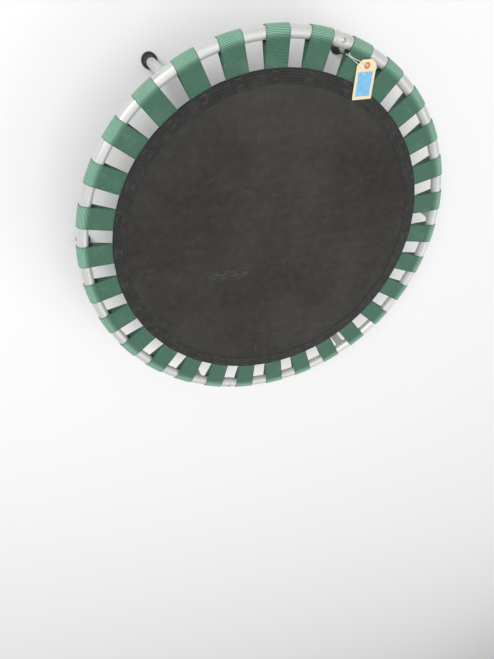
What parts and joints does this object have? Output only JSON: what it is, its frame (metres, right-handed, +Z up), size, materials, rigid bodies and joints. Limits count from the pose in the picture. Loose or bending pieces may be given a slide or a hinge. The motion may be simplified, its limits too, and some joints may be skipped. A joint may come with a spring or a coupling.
{
  "type": "mini trampoline",
  "caption": "Low round exercise trampoline: a steel tube rim on screw-in legs, with a black woven mat held by green elastic webbing loops.",
  "frame": {"origin": "on the floor, under the middle of the mat", "axes": "+Z up through the middle of the mat; +X towards leg 1; legs every 60 degrees"},
  "size_m": [0.95, 0.9434, 0.2072],
  "materials": {
    "rim_tube": "light grey paint, satin, lightly worn",
    "leg_tube": "light grey paint, satin, lightly worn",
    "rivet": "dull",
    "thread_steel": "zinc plated, turned thread",
    "foot_rubber": "matt moulded rubber",
    "elastic_webbing": "ribbed woven elastic",
    "mat_weave": "tight plastic weave, slight sheen",
    "border_webbing": "stitched webbing",
    "card": "manila card, stands in for paper",
    "patch_paper": "pressed paper ring",
    "cotton": "twisted cotton"
  },
  "bodies": {
    "frame": {"half_rim_a": "rim_tube", "half_rim_b": "rim_tube", "rim_rivets": "rivet", "leg_bosses": "rim_tube", "leg_studs": "thread_steel", "strap_01": "elastic_webbing", "strap_02": "elastic_webbing", "strap_03": "elastic_webbing", "strap_04": "elastic_webbing", "strap_05": "elastic_webbing", "strap_06": "elastic_webbing", "strap_07": "elastic_webbing", "strap_08": "elastic_webbing", "strap_09": "elastic_webbing", "strap_10": "elastic_webbing", "strap_11": "elastic_webbing", "strap_12": "elastic_webbing", "strap_13": "elastic_webbing", "strap_14": "elastic_webbing", "strap_15": "elastic_webbing", "strap_16": "elastic_webbing", "strap_17": "elastic_webbing", "strap_18": "elastic_webbing", "strap_19": "elastic_webbing", "strap_20": "elastic_webbing", "strap_21": "elastic_webbing", "strap_22": "elastic_webbing", "strap_23": "elastic_webbing", "strap_24": "elastic_webbing", "strap_25": "elastic_webbing", "strap_26": "elastic_webbing", "strap_27": "elastic_webbing", "strap_28": "elastic_webbing", "strap_29": "elastic_webbing", "strap_30": "elastic_webbing", "tag": "card", "tag_patch": "patch_paper", "tag_string": "cotton"},
    "bed": {"mat": "mat_weave", "border_top": "border_webbing", "border_bottom": "border_webbing"},
    "leg_set_1": {"leg_1": "leg_tube", "leg_plug_1": "thread_steel", "foot_1": "foot_rubber"},
    "leg_set_2": {"leg_2": "leg_tube", "leg_plug_2": "thread_steel", "foot_2": "foot_rubber"},
    "leg_set_3": {"leg_3": "leg_tube", "leg_plug_3": "thread_steel", "foot_3": "foot_rubber"},
    "leg_set_4": {"leg_4": "leg_tube", "leg_plug_4": "thread_steel", "foot_4": "foot_rubber"},
    "leg_set_5": {"leg_5": "leg_tube", "leg_plug_5": "thread_steel", "foot_5": "foot_rubber"},
    "leg_set_6": {"leg_6": "leg_tube", "leg_plug_6": "thread_steel", "foot_6": "foot_rubber"}
  },
  "joints": [
    {"name": "bed_bounce", "type": "slide", "parent": "frame", "child": "bed", "axis": [0, 0, -1], "range_m": [0, 0.08], "stiffness_N_per_m": 12000, "deforming": ["strap_01", "strap_02", "strap_03", "strap_04", "strap_05", "strap_06", "strap_07", "strap_08", "strap_09", "strap_10", "strap_11", "strap_12", "strap_13", "strap_14", "strap_15", "strap_16", "strap_17", "strap_18", "strap_19", "strap_20", "strap_21", "strap_22", "strap_23", "strap_24", "strap_25", "strap_26", "strap_27", "strap_28", "strap_29", "strap_30", "tag", "tag_patch", "tag_string"]},
    {"name": "leg_1_off", "type": "slide", "parent": "frame", "child": "leg_set_1", "axis": [0, 0, -1], "range_m": [0, 0.035]},
    {"name": "leg_2_off", "type": "slide", "parent": "frame", "child": "leg_set_2", "axis": [0, 0, -1], "range_m": [0, 0.035]},
    {"name": "leg_3_off", "type": "slide", "parent": "frame", "child": "leg_set_3", "axis": [0, 0, -1], "range_m": [0, 0.035]},
    {"name": "leg_4_off", "type": "slide", "parent": "frame", "child": "leg_set_4", "axis": [0, 0, -1], "range_m": [0, 0.035]},
    {"name": "leg_5_off", "type": "slide", "parent": "frame", "child": "leg_set_5", "axis": [0, 0, -1], "range_m": [0, 0.035]},
    {"name": "leg_6_off", "type": "slide", "parent": "frame", "child": "leg_set_6", "axis": [0, 0, -1], "range_m": [0, 0.035]}
  ]
}
